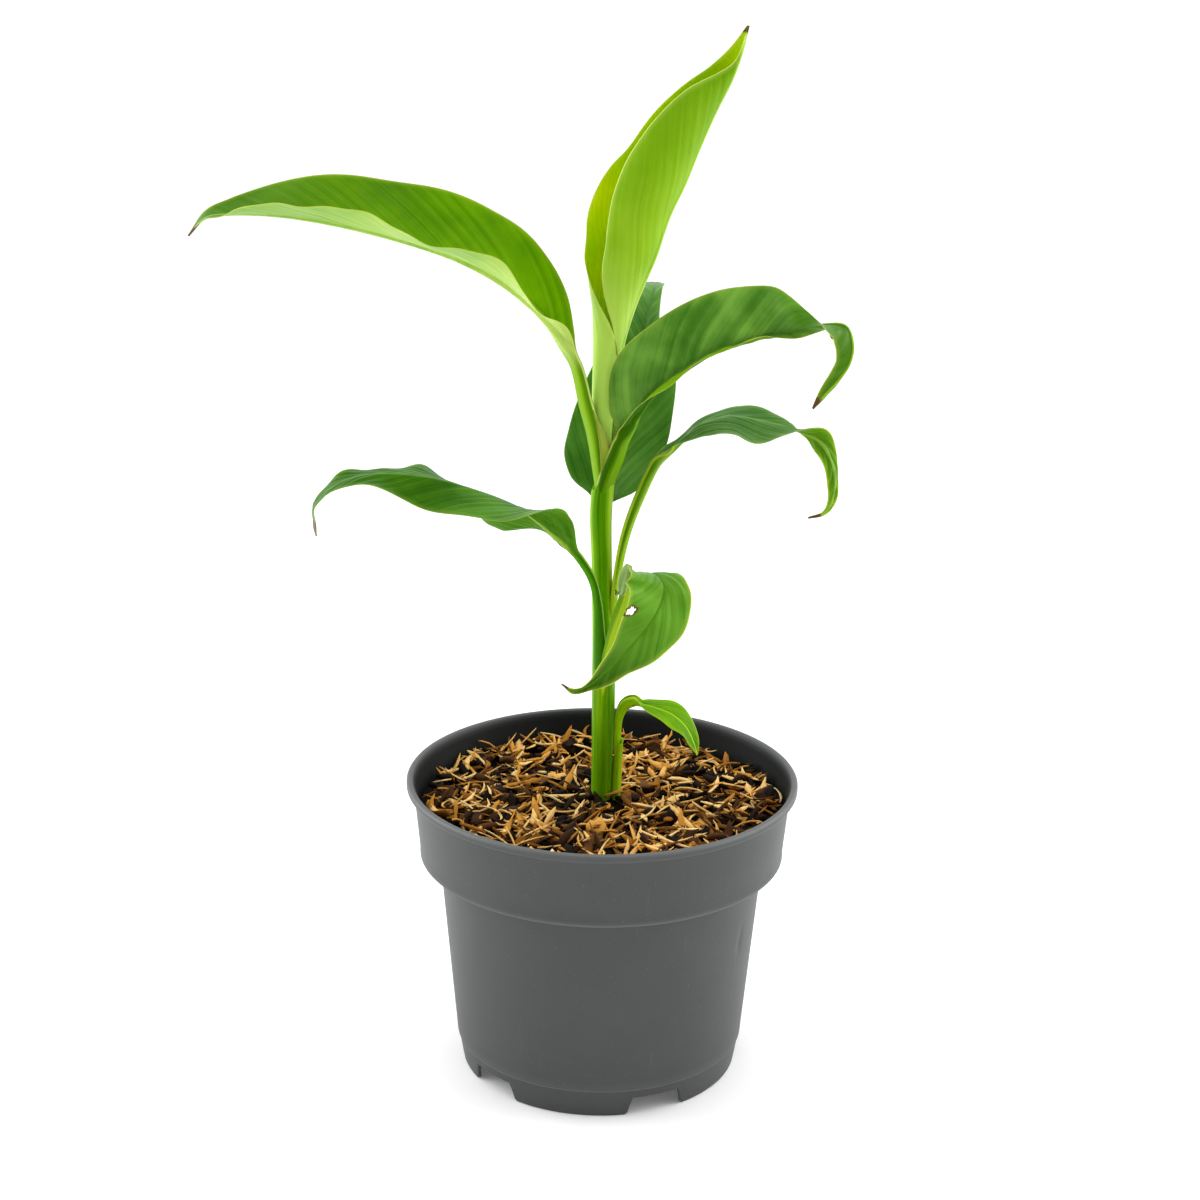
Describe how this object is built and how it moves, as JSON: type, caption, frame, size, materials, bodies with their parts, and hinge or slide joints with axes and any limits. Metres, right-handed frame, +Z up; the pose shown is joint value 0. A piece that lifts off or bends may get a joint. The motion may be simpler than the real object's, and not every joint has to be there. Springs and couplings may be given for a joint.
{
  "type": "potted banana plant",
  "caption": "Young banana plant with arching paddle-shaped leaves and a furled spear leaf, in a round collared nursery pot topped with bark mulch.",
  "frame": {"origin": "centre of the pot's underside, on the flat bottom of its middle foot pad", "axes": "+Z up along the stem, -Y towards the front of the picture, +X to its right"},
  "size_m": [0.3016, 0.237, 0.5014],
  "materials": {
    "bark_mulch": "rough shredded bark and straw-coloured wood fibre",
    "blade_back": "glossy leaf surface, soft",
    "blade_back_tip": "glossy leaf surface, soft",
    "blade_front": "glossy leaf surface, soft",
    "blade_front_tip": "glossy leaf surface, soft",
    "blade_furled": "glossy leaf surface, soft",
    "blade_lower_left": "glossy leaf surface, soft",
    "blade_lower_left_tip": "glossy leaf surface, soft",
    "blade_mid_right": "glossy leaf surface, soft",
    "blade_mid_right_tip": "glossy leaf surface, soft",
    "blade_sucker": "glossy leaf surface, soft",
    "blade_sucker_tip": "glossy leaf surface, soft",
    "blade_upper_left": "glossy leaf surface, soft",
    "blade_upper_left_tip": "glossy leaf surface, soft",
    "blade_upper_right": "glossy leaf surface, soft",
    "blade_upper_right_tip": "glossy leaf surface, soft",
    "petiole_back": "waxy, soft green",
    "petiole_front": "waxy, soft green",
    "petiole_furled": "waxy, soft green",
    "petiole_lower_left": "waxy, soft green",
    "petiole_mid_right": "waxy, soft green",
    "petiole_sucker": "waxy, soft green",
    "petiole_upper_left": "waxy, soft green",
    "petiole_upper_right": "waxy, soft green",
    "pot": "satin moulded, slate grey",
    "potting_soil": "damp, dark brown",
    "pseudostem": "waxy, soft green",
    "sucker_stem": "waxy, soft green"
  },
  "bodies": {
    "root": {"bark_mulch": "bark_mulch", "blade_back": "blade_back", "blade_back_tip": "blade_back_tip", "blade_front": "blade_front", "blade_front_tip": "blade_front_tip", "blade_furled": "blade_furled", "blade_lower_left": "blade_lower_left", "blade_lower_left_tip": "blade_lower_left_tip", "blade_mid_right": "blade_mid_right", "blade_mid_right_tip": "blade_mid_right_tip", "blade_sucker": "blade_sucker", "blade_sucker_tip": "blade_sucker_tip", "blade_upper_left": "blade_upper_left", "blade_upper_left_tip": "blade_upper_left_tip", "blade_upper_right": "blade_upper_right", "blade_upper_right_tip": "blade_upper_right_tip", "petiole_back": "petiole_back", "petiole_front": "petiole_front", "petiole_furled": "petiole_furled", "petiole_lower_left": "petiole_lower_left", "petiole_mid_right": "petiole_mid_right", "petiole_sucker": "petiole_sucker", "petiole_upper_left": "petiole_upper_left", "petiole_upper_right": "petiole_upper_right", "pot": "pot", "potting_soil": "potting_soil", "pseudostem": "pseudostem", "sucker_stem": "sucker_stem"}
  },
  "joints": []
}
